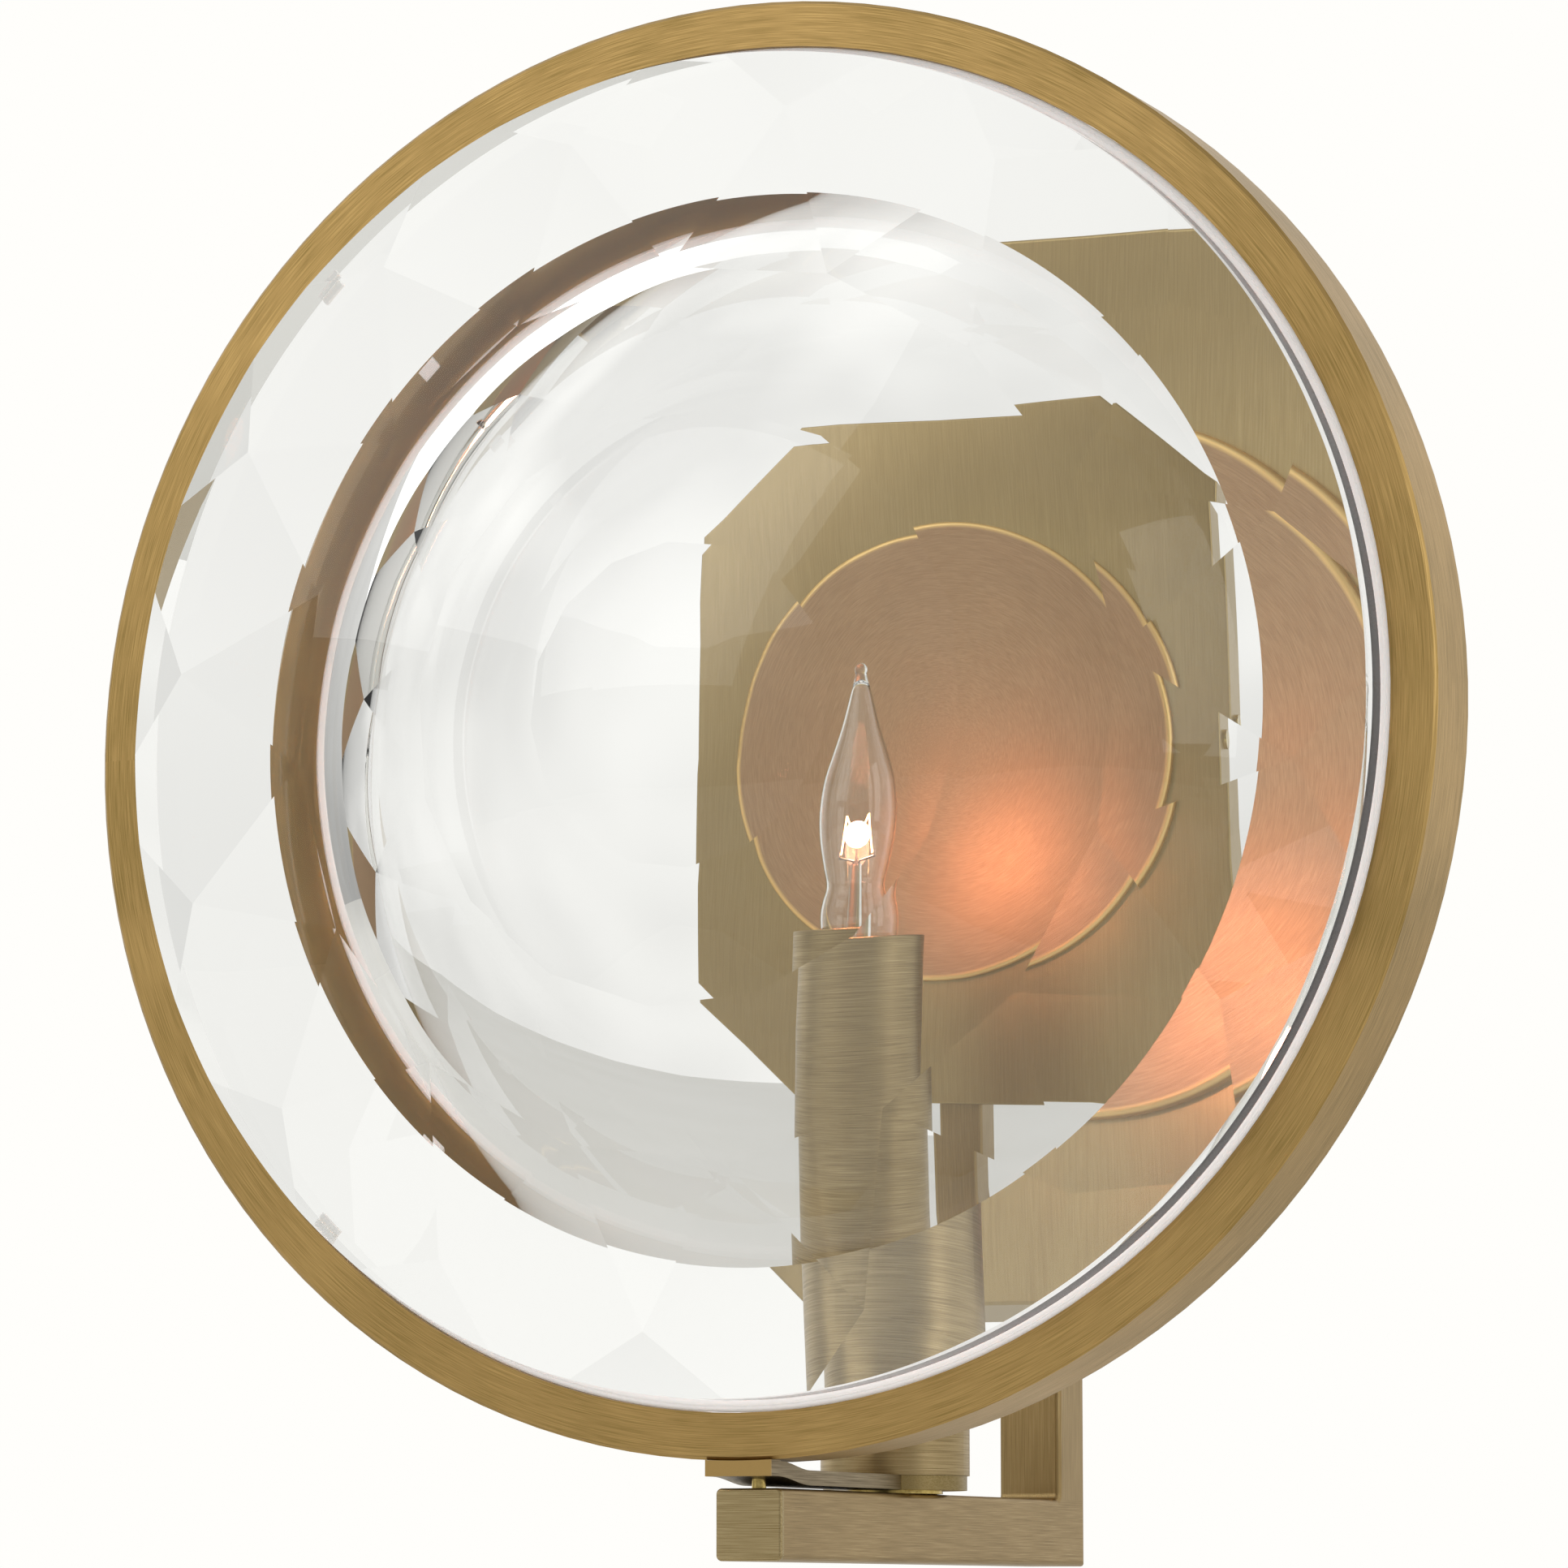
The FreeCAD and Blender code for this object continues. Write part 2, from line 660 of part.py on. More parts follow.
def canopy_disc():
    disc = Part.makeCylinder(disc_r, disc_t, V(0, canopy_front - disc_t, 0), Y)
    front = canopy_front - disc_t
    rim = [e for e in disc.Edges if isinstance(e.Curve, Part.Circle) and e.BoundBox.YMax < front + 1e-3]
    disc = disc.makeFillet(disc_edge_r, rim)
    studs = [Part.makeCylinder(disc_stud_r, disc_stud_len, V(x, canopy_front, 0), Y)
             for x in (-disc_stud_x, disc_stud_x)]
    return disc.fuse(studs)


def disc_nuts():
    nuts = []
    for x in (-disc_stud_x, disc_stud_x):
        base = V(x, 0, 0)
        nut = hexagon(disc_nut_flats, V(0, 0, 0), disc_nut_t)
        nut.rotate(V(0, 0, 0), X, -90)
        nut.translate(base + Y * canopy_inside)
        nuts.append(nut.cut(Part.makeCylinder(disc_stud_r, 20.0, V(x, canopy_front, 0), Y)))
    return nuts


def arm_screw_places():
    x = bar / 2 + arm_plate_side / 2
    z = (canopy_bottom + canopy_wall + leg_top) / 2
    return [V(side * x, 0, z) for side in (-1, 1)]


def arm_plate():
    """Plate brazed to the front of the leg and screwed to the inside of the backplate."""
    half = bar / 2 + arm_plate_side
    low = canopy_bottom + canopy_wall + 1.0
    plate = box(-half, half, canopy_inside, leg_front, low, leg_top + arm_plate_above)
    for place in arm_screw_places():
        start = place + Y * (canopy_inside - 1.0)
        plate = plate.cut(Part.makeCylinder(arm_screw_r + stud_fit, arm_plate_t + 2.0, start, Y))
    return plate


def arm_screws():
    screws = []
    for place in arm_screw_places():
        length = canopy_wall + arm_plate_t - arm_screw_skin
        shank = Part.makeCylinder(arm_screw_r, length, place + Y * (leg_front - length), Y)
        head = Part.makeCylinder(arm_screw_head_r, arm_screw_head_t, place + Y * leg_front, Y)
        screws.append(shank.fuse(head).removeSplitter())
    return screws


# ---- wall bracket ----
def ear_x():
    return canopy_w / 2 - canopy_wall - crossbar_gap


def wall_crossbar():
    outer = ear_x()
    half = crossbar_w / 2
    bar_solid = box(-outer, outer, -crossbar_t, 0, -half, half)
    for side in (-1, 1):
        x = sorted((side * outer, side * (outer - crossbar_t)))
        bar_solid = bar_solid.fuse(box(x[0], x[1], -crossbar_t - ear_h, -crossbar_t, -half, half))
    bar_solid = bar_solid.removeSplitter()
    for side in (-1, 1):
        run = slot_len - slot_w
        x0 = side * slot_spacing / 2 - run / 2
        slot = box(x0, x0 + run, -crossbar_t, 0, -slot_w / 2, slot_w / 2)
        for x in (x0, x0 + run):
            slot = slot.fuse(Part.makeCylinder(slot_w / 2, crossbar_t, V(x, -crossbar_t, 0), Y))
        bar_solid = bar_solid.cut(slot)
        hole = V(side * (outer - crossbar_t - 1.0), side_screw_y, 0)
        screw_hole = Part.makeCylinder(side_screw_r + side_fit, crossbar_t + 2.0, hole, X * side)
        bar_solid = bar_solid.cut(screw_hole)
    ground_hole = Part.makeCylinder(ground_r, crossbar_t + 2.0, V(ground_x, -crossbar_t - 1.0, 0), Y)
    return bar_solid.cut(ground_hole)


def ground_screw():
    head = Part.makeCylinder(ground_head_r, ground_head_t, V(ground_x, -crossbar_t - ground_head_t, 0), Y)
    slot = box(ground_x - ground_head_r, ground_x + ground_head_r, -crossbar_t - ground_head_t,
               -crossbar_t - ground_head_t + 0.9, -0.45, 0.45)
    shank = Part.makeCylinder(ground_r, crossbar_t, V(ground_x, -crossbar_t, 0), Y)
    return head.cut(slot).fuse(shank).removeSplitter()


def side_screw(side):
    face = canopy_w / 2
    shank = Part.makeCylinder(side_screw_r, side_screw_len, V(side * face, side_screw_y, 0), X * -side)
    seat = V(side * face, side_screw_y, 0)
    head = Part.makeCylinder(side_screw_head_r, side_screw_head_t, seat, X * side)
    x = sorted((side * (face + side_screw_head_t), side * (face + side_screw_head_t - 0.7)))
    slot = box(x[0], x[1], side_screw_y - 0.4, side_screw_y + 0.4, -side_screw_head_r, side_screw_head_r)
    return head.cut(slot).fuse(shank).removeSplitter()


# ---- wiring ----
def lead_wire(side):
    """One insulated lead: down the riser, along the bar, up the leg and into the backplate."""
    x = side * wire_x
    run_z = (bar_top + bar_bottom) / 2
    up_y = (leg_front + leg_back) / 2
    r = wire_bend
    top = V(x, candle_y, shell_bottom - 1.2)
    tail_top = leg_top + wire_tail
    down = V(x, candle_y, run_z + r)
    turn = r * (1 - math.sqrt(0.5))
    path = [
        Part.LineSegment(top, down),
        Part.Arc(down, V(x, candle_y + turn, run_z + turn), V(x, candle_y + r, run_z)),
        Part.LineSegment(V(x, candle_y + r, run_z), V(x, up_y - r, run_z)),
        Part.Arc(V(x, up_y - r, run_z), V(x, up_y - turn, run_z + turn), V(x, up_y, run_z + r)),
        Part.LineSegment(V(x, up_y, run_z + r), V(x, up_y, tail_top)),
    ]
    wire = Part.Wire([p.toShape() for p in path])
    section = Part.Wire(Part.makeCircle(wire_r, top, Z))
    return wire.makePipeShell([section], True, False)


def wire_nut(side):
    """Twist-on connector over the end of a lead."""
    up_y = (leg_front + leg_back) / 2
    z = leg_top + wire_tail
    outline = [(0, 0), (cap_nut_r, 0), (cap_nut_r * 0.95, cap_nut_len * 0.5), (cap_nut_tip_r, cap_nut_len),
               (0, cap_nut_len)]
    return turned(outline, V(side * (wire_x + cap_nut_r * 0.85), up_y, z), Z)


os.makedirs("parts", exist_ok=True)
save("lens_ring", lens_ring())
save("lens", lens())
save("lens_seal", lens_seal())
save("lens_bumpers", *lens_bumpers())
save("lens_clips", *lens_clips())
save("clip_pads", *clip_pads())
save("clip_screws", *clip_screws())
save("lens_bracket", lens_bracket())
save("strap_pin", strap_pin())
save("arm", arm())
save("arm_end_cap", arm_end_cap())
save("spacer_washer", spacer_washer())
save("riser_tube", riser_tube())
save("riser_nut", riser_nut())
save("riser_locknut", riser_locknut())
save("candle_sleeve", candle_sleeve())
save("socket_body", socket_body())
save("socket_shell", socket_shell())
save("socket_contact", socket_contact())
save("sleeve_spacer", sleeve_spacer())
save("bulb_glass", bulb_glass())
save("bulb_stem", bulb_stem())
save("bulb_shell", bulb_shell())
save("bulb_insulator", bulb_insulator())
save("bulb_contact", bulb_contact())
save("bulb_filament", bulb_filament())
save("bulb_leads", *bulb_leads())
save("canopy", canopy())
save("canopy_disc", canopy_disc())
save("disc_nuts", *disc_nuts())
save("arm_plate", arm_plate())
save("arm_screws", *arm_screws())
save("wall_crossbar", wall_crossbar())
save("ground_screw", ground_screw())
for side, word in ((-1, "left"), (1, "right")):
    save("side_screw_" + word, side_screw(side))
save("lead_line", lead_wire(1))
save("lead_neutral", lead_wire(-1))
save("wire_nut_line", wire_nut(1))
save("wire_nut_neutral", wire_nut(-1))
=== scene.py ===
import bpy
import bmesh
import json
import math
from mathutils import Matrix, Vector


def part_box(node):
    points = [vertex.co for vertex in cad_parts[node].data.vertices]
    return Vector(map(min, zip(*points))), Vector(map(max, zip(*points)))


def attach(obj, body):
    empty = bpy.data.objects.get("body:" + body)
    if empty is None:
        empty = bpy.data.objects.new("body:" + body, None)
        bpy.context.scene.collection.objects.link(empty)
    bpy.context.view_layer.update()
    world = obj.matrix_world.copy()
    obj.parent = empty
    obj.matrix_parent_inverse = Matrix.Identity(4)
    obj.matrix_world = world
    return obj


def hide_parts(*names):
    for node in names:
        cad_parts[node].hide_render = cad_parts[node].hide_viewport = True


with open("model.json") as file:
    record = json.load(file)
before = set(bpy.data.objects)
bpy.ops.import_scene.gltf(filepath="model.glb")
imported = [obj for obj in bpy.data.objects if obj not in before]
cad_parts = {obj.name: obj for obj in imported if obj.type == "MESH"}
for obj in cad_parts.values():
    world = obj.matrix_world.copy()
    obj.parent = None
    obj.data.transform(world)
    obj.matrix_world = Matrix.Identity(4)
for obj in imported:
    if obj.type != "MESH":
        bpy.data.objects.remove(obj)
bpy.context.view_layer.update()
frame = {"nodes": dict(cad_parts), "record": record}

# Wall sconce: an electric candle behind a faceted crystal lens in a brushed brass ring.
scene = bpy.context.scene
nodes = frame["nodes"]
mm = 0.001


# ---------- small helpers ----------
def hexColour(code):
    # sRGB hex to the linear RGBA that the sockets take
    channels = [int(code[i:i + 2], 16) / 255 for i in (1, 3, 5)]
    linear = [c / 12.92 if c <= 0.04045 else ((c + 0.055) / 1.055) ** 2.4 for c in channels]
    return (*linear, 1.0)


def addNode(tree, kind, settings=None, links=None):
    # settings are sockets by name or number, or the node's own attributes; links are socket: (node, output)
    node = tree.nodes.new(kind)
    for key, value in (settings or {}).items():
        if isinstance(key, str) and hasattr(node, key):
            setattr(node, key, value)
        else:
            node.inputs[key].default_value = value
    for key, (source, output) in (links or {}).items():
        tree.links.new(source.outputs[output], node.inputs[key])
    return node


def newFinish(name, **settings):
    material = bpy.data.materials.new(name)
    material.use_nodes = True
    tree = material.node_tree
    shader = tree.nodes["Principled BSDF"]
    for key, value in settings.items():
        shader.inputs[key].default_value = value
    return material, tree, shader


def ramp(tree, source, output, stops):
    # colour ramp from (place, hex) stops
    node = addNode(tree, "ShaderNodeValToRGB", links={"Fac": (source, output)})
    marks = node.color_ramp.elements
    while len(marks) < len(stops):
        marks.new(0.5)
    for mark, (place, code) in zip(marks, stops):
        mark.position = place
        mark.color = hexColour(code)
    return node


def noiseOn(tree, width, detail):
    # noise fixed to the piece, with patches about this wide in metres
    place = addNode(tree, "ShaderNodeTexCoord")
    return addNode(tree, "ShaderNodeTexNoise", {"Scale": 1 / width, "Detail": detail},
                   {"Vector": (place, "Object")})


def plug(tree, shader, colour, dull, relief):
    # base colour as (node, output), then the nodes for roughness and for relief
    tree.links.new(colour[0].outputs[colour[1]], shader.inputs["Base Color"])
    tree.links.new(dull.outputs[0], shader.inputs["Roughness"])
    tree.links.new(relief.outputs[0], shader.inputs["Normal"])


def newPiece(name, mesh, body, slotName, finish, *stoodFor):
    piece = bpy.data.objects.new(name, mesh)
    scene.collection.objects.link(piece)
    mesh.materials.clear()
    mesh.materials.append(finish)
    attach(piece, body)
    if stoodFor:
        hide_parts(*stoodFor)
    return piece


def meshFrom(bm, name, smooth=True, sharpAt=30):
    mesh = bpy.data.meshes.new(name)
    bmesh.ops.recalc_face_normals(bm, faces=bm.faces[:])
    bm.to_mesh(mesh)
    bm.free()
    for face in mesh.polygons:
        face.use_smooth = smooth
    if smooth:
        mesh.set_sharp_from_angle(angle=math.radians(sharpAt))
    return mesh


def lathe(bm, outline, centre, turns, upAxis="Z"):
    # closed solid from a closed (radius, height) outline; points on the axis become one vertex
    rings = []
    for radius, height in outline:
        if radius < 1e-7:
            rings.append([bm.verts.new(latheAt(0, 0, height, centre, upAxis))])
        else:
            rings.append([bm.verts.new(latheAt(radius, 2 * math.pi * k / turns, height, centre, upAxis))
                          for k in range(turns)])
    for a, b in zip(rings, rings[1:] + rings[:1]):
        if len(a) == 1 and len(b) == 1:
            continue
        for k in range(turns):
            n = (k + 1) % turns
            corners = [a[k % len(a)], a[n % len(a)], b[n % len(b)], b[k % len(b)]]
            unique = list(dict.fromkeys(corners))
            if len(unique) > 2:
                bm.faces.new(unique)
    return rings


def latheAt(radius, angle, height, centre, upAxis):
    u, v = radius * math.cos(angle), radius * math.sin(angle)
    offset = Vector((u, v, height)) if upAxis == "Z" else Vector((u, height, v))
    return Vector(centre) + offset


def smoothThrough(points, steps):
    # Catmull-Rom through (radius, height) points
    full = [points[0]] + list(points) + [points[-1]]
    path = []
    for p0, p1, p2, p3 in zip(full, full[1:], full[2:], full[3:]):
        for s in range(steps):
            t = s / steps
            path.append(tuple(0.5 * (2 * b + (c - a) * t + (2 * a - 5 * b + 4 * c - d) * t * t
                                     + (3 * b - a - 3 * c + d) * t ** 3)
                              for a, b, c, d in zip(p0, p1, p2, p3)))
    path.append(tuple(points[-1]))
    return path


# ---------- places taken from the frame ----------
ringLow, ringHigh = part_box("lens_ring")
lensLow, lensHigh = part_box("lens")
sleeveLow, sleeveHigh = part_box("candle_sleeve")
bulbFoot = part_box("bulb_glass")[0].z
ringCentre = Vector((0, ringLow.y, (ringLow.z + ringHigh.z) / 2))
ringRadius = (ringHigh.x - ringLow.x) / 2
candleAxis = Vector((0, (sleeveLow.y + sleeveHigh.y) / 2, 0))


# ---------- camera ----------
cameraSet = {"from": (3.680, -7.860, -1.205),   # in ring radii from the ring's centre
             "pan": 24.68, "tilt": 7.35, "lens": 147.82}
eye = bpy.data.cameras.new("camera")
eye.lens = cameraSet["lens"]
eye.clip_start = 0.05
eye.clip_end = 60
camera = bpy.data.objects.new("camera", eye)
camera.location = ringCentre + Vector(cameraSet["from"]) * ringRadius
camera.rotation_euler = (math.radians(90 + cameraSet["tilt"]), 0, math.radians(cameraSet["pan"]))
scene.collection.objects.link(camera)
scene.camera = camera
scene.view_settings.view_transform = "Standard"
print("camera set")


# ---------- light ----------
studio = {"wall": 0.97, "front": 0.44, "wallFrom": -0.10, "wallTo": 0.12,
          "ceiling": 0.53, "ceilingFrom": 0.35, "ceilingTo": 0.8,
          "cloudScale": 4.5, "cloudDepth": 0.19, "cloudFrom": 0.35, "cloudTo": 0.62,
          "leftBox": 0.40, "boxFrom": 0.80, "boxTo": 0.98, "leftBoxTowards": (-0.60, -0.68, 0.42),
          "backdrop": 1.0, "tint": "#FFFEFB"}
softLights = {"key soft box": {"place": (-1.5, -1.9, 1.7), "size": (2.6, 2.6), "power": 17.5},
              "right fill": {"place": (1.9, -0.6, 0.6), "size": (1.0, 1.4), "power": 5.5}}


def buildStudio():
    world = bpy.data.worlds.new("pale studio")
    world.use_nodes = True
    scene.world = world
    tree = world.node_tree
    tree.nodes.clear()
    way = addNode(tree, "ShaderNodeTexCoord")
    split = addNode(tree, "ShaderNodeSeparateXYZ", links={0: (way, "Generated")})
    # the white wall side, against the darker room in front
    wallSide = addNode(tree, "ShaderNodeMapRange",
                       {"interpolation_type": "SMOOTHSTEP", "From Min": studio["wallFrom"],
                        "From Max": studio["wallTo"], "To Min": studio["front"], "To Max": studio["wall"]},
                       {"Value": (split, "Y")})
    # the room is unevenly lit, so that each facet bends a slightly different tone to the eye
    cloud = addNode(tree, "ShaderNodeTexNoise", {"Scale": studio["cloudScale"], "Detail": 2.0},
                    {"Vector": (way, "Generated")})
    uneven = addNode(tree, "ShaderNodeMapRange",
                     {"From Min": studio["cloudFrom"], "From Max": studio["cloudTo"],
                      "To Min": 1 - studio["cloudDepth"], "To Max": 1.0}, {"Value": (cloud, 0)})
    room = addNode(tree, "ShaderNodeMath", {"operation": "MULTIPLY"}, {0: (wallSide, 0), 1: (uneven, 0)})
    high = addNode(tree, "ShaderNodeMapRange",
                   {"interpolation_type": "SMOOTHSTEP", "From Min": studio["ceilingFrom"],
                    "From Max": studio["ceilingTo"], "To Min": 0.0, "To Max": studio["ceiling"]},
                   {"Value": (split, "Z")})
    both = addNode(tree, "ShaderNodeMath", {"operation": "MAXIMUM"}, {0: (room, 0), 1: (high, 0)})
    # a broad soft box to the left of the viewer
    facing = addNode(tree, "ShaderNodeVectorMath", {"operation": "DOT_PRODUCT", 1: studio["leftBoxTowards"]},
                     {0: (way, "Generated")})
    boxLight = addNode(tree, "ShaderNodeMapRange",
                       {"interpolation_type": "SMOOTHSTEP", "From Min": studio["boxFrom"],
                        "From Max": studio["boxTo"], "To Min": 0.0, "To Max": studio["leftBox"]},
                       {"Value": (facing, "Value")})
    total = addNode(tree, "ShaderNodeMath", {"operation": "ADD"}, {0: (both, 0), 1: (boxLight, 0)})
    seen = addNode(tree, "ShaderNodeLightPath")
    level = addNode(tree, "ShaderNodeMix", {"data_type": "FLOAT", "B": studio["backdrop"]},
                    {"Factor": (seen, "Is Camera Ray"), "A": (total, 0)})
    glow = addNode(tree, "ShaderNodeBackground", {"Color": hexColour(studio["tint"])},
                   {"Strength": (level, 0)})
    addNode(tree, "ShaderNodeOutputWorld", links={"Surface": (glow, 0)})


def softLight(name):
    use = softLights[name]
    lamp = bpy.data.lights.new(name, "AREA")
    lamp.shape = "RECTANGLE"
    lamp.size, lamp.size_y = use["size"]
    lamp.energy = use["power"]
    holder = bpy.data.objects.new(name, lamp)
    holder.location = use["place"]
    holder.rotation_euler = (ringCentre - Vector(use["place"])).to_track_quat("-Z", "Y").to_euler()
    scene.collection.objects.link(holder)


buildStudio()
for lightName in softLights:
    softLight(lightName)
print("light set")


# ---------- finishes ----------
# grain and patches in mm; the arc is the length in metres of one radian of grain at the usual radius
brass = {"clean": "#CBA96C", "body": "#B2935C", "tarnish": "#8A7440", "grainWidth": 0.22, "grainLength": 16,
         "patchWidth": 36, "patchShare": 0.35, "middle": 0.7, "halfSpan": 0.25,
         "roughness": 0.36, "polish": 0.07, "ringArc": 0.16, "sleeveArc": 0.017}
# reaches in mm, the eye's from the candle axis and the tab's from the ring's front
strapTint = {"eye": "#958048", "eyeFrom": 17.2, "eyeTo": 16.0, "tab": "#B2935C", "tabFrom": 0.6, "tabTo": 0.2}
# painted highlight on the disc's rounded rim, in mm, inwards from the disc's edge
discRimHighlight = {"rim": "#F2D08C", "rimFrom": 2.2, "rimTo": 1.0}
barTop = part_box("arm_end_cap")[1].z
ringFront = ringLow.y


def stretched(tree, source, by):
    return addNode(tree, "ShaderNodeVectorMath", {"operation": "MULTIPLY", 1: by}, {0: (source, 0)})


def grainCoordinates(tree, lay, centre):
    # coordinates that run fast across the brush strokes and slowly along them
    place = addNode(tree, "ShaderNodeTexCoord")
    moved = addNode(tree, "ShaderNodeVectorMath", {"operation": "SUBTRACT", 1: tuple(centre)},
                    {0: (place, "Object")})
    split = addNode(tree, "ShaderNodeSeparateXYZ", links={0: (moved, 0)})
    across, along = 1 / (brass["grainWidth"] * mm), 1 / (brass["grainLength"] * mm)
    if lay in ("roundY", "roundZ"):
        u, v, w = ("X", "Z", "Y") if lay == "roundY" else ("X", "Y", "Z")
        flat = addNode(tree, "ShaderNodeCombineXYZ", links={0: (split, u), 1: (split, v)})
        reach = addNode(tree, "ShaderNodeVectorMath", {"operation": "LENGTH"}, {0: (flat, 0)})
        angle = addNode(tree, "ShaderNodeMath", {"operation": "ARCTAN2"}, {0: (split, v), 1: (split, u)})
        fine = addNode(tree, "ShaderNodeMath", {"operation": "MULTIPLY", 1: across}, {0: (reach, "Value")})
        deep = addNode(tree, "ShaderNodeMath", {"operation": "MULTIPLY", 1: across}, {0: (split, w)})
        arc = brass["ringArc"] if lay == "roundY" else brass["sleeveArc"]
        slow = addNode(tree, "ShaderNodeMath", {"operation": "MULTIPLY", 1: along * arc}, {0: (angle, 0)})
        return addNode(tree, "ShaderNodeCombineXYZ", links={0: (fine, 0), 1: (deep, 0), 2: (slow, 0)})
    stretch = {"alongX": (along, across, across), "alongY": (across, along, across),
               "alongZ": (across, across, along)}
    if lay != "elbow":
        return stretched(tree, moved, stretch[lay])
    # the bar is brushed along Y and the leg above it along Z
    level, upright = (stretched(tree, moved, stretch[way]) for way in ("alongY", "alongZ"))
    above = addNode(tree, "ShaderNodeMath", {"operation": "GREATER_THAN", 1: barTop}, {0: (split, "Z")})
    return addNode(tree, "ShaderNodeMix", {"data_type": "VECTOR"},
                   {0: (above, 0), 4: (level, 0), 5: (upright, 0)})


def brushedBrass(name, lay, centre=(0, 0, 0), body=None, tarnish=None, clean=None, roughness=None, bump=0.05,
                 contrast=1.0, tintPatch=None):
    # antique brass: a brown-gold film, brushed through in fine parallel strokes, duller in patches
    material, tree, shader = newFinish(name, Metallic=1.0)
    grain = grainCoordinates(tree, lay, centre)
    grainOut = 1 if lay == "elbow" else 0
    strokes = addNode(tree, "ShaderNodeTexNoise", {"Scale": 1.0, "Detail": 3.0, "Roughness": 0.65},
                      {"Vector": (grain, grainOut)})
    patches = noiseOn(tree, brass["patchWidth"] * mm, 3.0)
    mixed = addNode(tree, "ShaderNodeMath", {"operation": "MULTIPLY_ADD", 1: brass["patchShare"]},
                    {0: (patches, 0), 2: (strokes, 0)})
    half = brass["halfSpan"] / contrast
    tone = addNode(tree, "ShaderNodeMapRange", {"From Min": brass["middle"] - half,
                                                "From Max": brass["middle"] + half}, {"Value": (mixed, 0)})
    tint = ramp(tree, tone, 0, [(0.0, tarnish or brass["tarnish"]), (0.5, body or brass["body"]),
                                (1.0, clean or brass["clean"])])
    rough = roughness or brass["roughness"]
    dull = addNode(tree, "ShaderNodeMapRange",
                   {"From Min": 0.3, "From Max": 0.8, "To Min": rough + brass["polish"],
                    "To Max": rough - brass["polish"]}, {"Value": (strokes, 0)})
    relief = addNode(tree, "ShaderNodeBump", {"Strength": bump, "Distance": 0.0002}, {"Height": (strokes, 0)})
    plug(tree, shader, tintPatch(tree, tint) if tintPatch else (tint, 0), dull, relief)
    return material


def mixTint(tree, mask, under, overCode):
    # the RGBA sockets of a mix node are numbers 6 and 7, and its colour comes out of number 2
    mix = addNode(tree, "ShaderNodeMix", {"data_type": "RGBA", 7: hexColour(overCode)})
    tree.links.new(mask.outputs[0], mix.inputs[0])
    tree.links.new(under[0].outputs[under[1]], mix.inputs[6])
    return mix, 2


def reachFrom(tree, centre, u, v):
    # distance from an axis through centre, in the plane of the two named axes
    place = addNode(tree, "ShaderNodeTexCoord")
    split = addNode(tree, "ShaderNodeSeparateXYZ", links={0: (place, "Object")})
    flat = addNode(tree, "ShaderNodeCombineXYZ", links={0: (split, u), 1: (split, v)})
    return split, addNode(tree, "ShaderNodeVectorMath", {"operation": "DISTANCE", 1: centre}, {0: (flat, 0)})


def eyeAndTabTint(tree, tint):
    # the tab's front is finished with the ring, and the eye under the candle is cleaner and yellower
    split, away = reachFrom(tree, tuple(candleAxis), "X", "Y")
    onEye = addNode(tree, "ShaderNodeMapRange",
                    {"From Min": strapTint["eyeFrom"] * mm, "From Max": strapTint["eyeTo"] * mm},
                    {"Value": (away, "Value")})
    onTab = addNode(tree, "ShaderNodeMapRange",
                    {"From Min": ringFront + strapTint["tabFrom"] * mm,
                     "From Max": ringFront + strapTint["tabTo"] * mm}, {"Value": (split, "Y")})
    return mixTint(tree, onTab, mixTint(tree, onEye, (tint, 0), strapTint["eye"]), strapTint["tab"])


def paintRimHighlight(tree, tint):
    # a bright band painted on the disc's rounded rim stands in for the highlight that its bevel catches
    reach = reachFrom(tree, (0, 0, 0), "X", "Z")[1]
    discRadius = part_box("canopy_disc")[1].x
    onPaintedHighlight = addNode(tree, "ShaderNodeMapRange",
                    {"From Min": discRadius - discRimHighlight["rimFrom"] * mm,
                     "From Max": discRadius - discRimHighlight["rimTo"] * mm}, {"Value": (reach, "Value")})
    return mixTint(tree, onPaintedHighlight, (tint, 0), discRimHighlight["rim"])


def crystalGlass():
    # optical crystal, ground and polished: clear, colourless, sharp reflections
    material, _, shader = newFinish("polished crystal")
    shader.inputs["Base Color"].default_value = hexColour("#FDFEFD")
    shader.inputs["Roughness"].default_value = 0.0
    shader.inputs["IOR"].default_value = 1.52
    shader.inputs["Transmission Weight"].default_value = 1.0
    return material


def blownGlass():
    # thin soda-lime glass, blown: clear with faint waviness
    material, tree, shader = newFinish("blown bulb glass")
    shader.inputs["Base Color"].default_value = hexColour("#FCFCFA")
    shader.inputs["Roughness"].default_value = 0.0
    shader.inputs["IOR"].default_value = 1.50
    shader.inputs["Transmission Weight"].default_value = 1.0
    wave = noiseOn(tree, 1 / 90.0, 1.0)      # ninety waves to the metre
    relief = addNode(tree, "ShaderNodeBump", {"Strength": 0.05, "Distance": 0.0005}, {"Height": (wave, 0)})
    tree.links.new(relief.outputs[0], shader.inputs["Normal"])
    return material


def mottled(name, low, high, roughness, metallic=0.0, grainMm=0.8, bump=0.1):
    # moulded, plated or cast surface: slight mottling of colour and gloss at a small scale
    material, tree, shader = newFinish(name, Metallic=metallic)
    speckle = noiseOn(tree, grainMm * mm, 4.0)
    tint = ramp(tree, speckle, 0, [(0.3, low), (0.7, high)])
    dull = addNode(tree, "ShaderNodeMapRange", {"From Min": 0.3, "From Max": 0.7, "To Min": roughness - 0.05,
                                                "To Max": roughness + 0.05}, {"Value": (speckle, 0)})
    relief = addNode(tree, "ShaderNodeBump", {"Strength": bump, "Distance": 0.0001}, {"Height": (speckle, 0)})
    plug(tree, shader, (tint, 0), dull, relief)
    return material


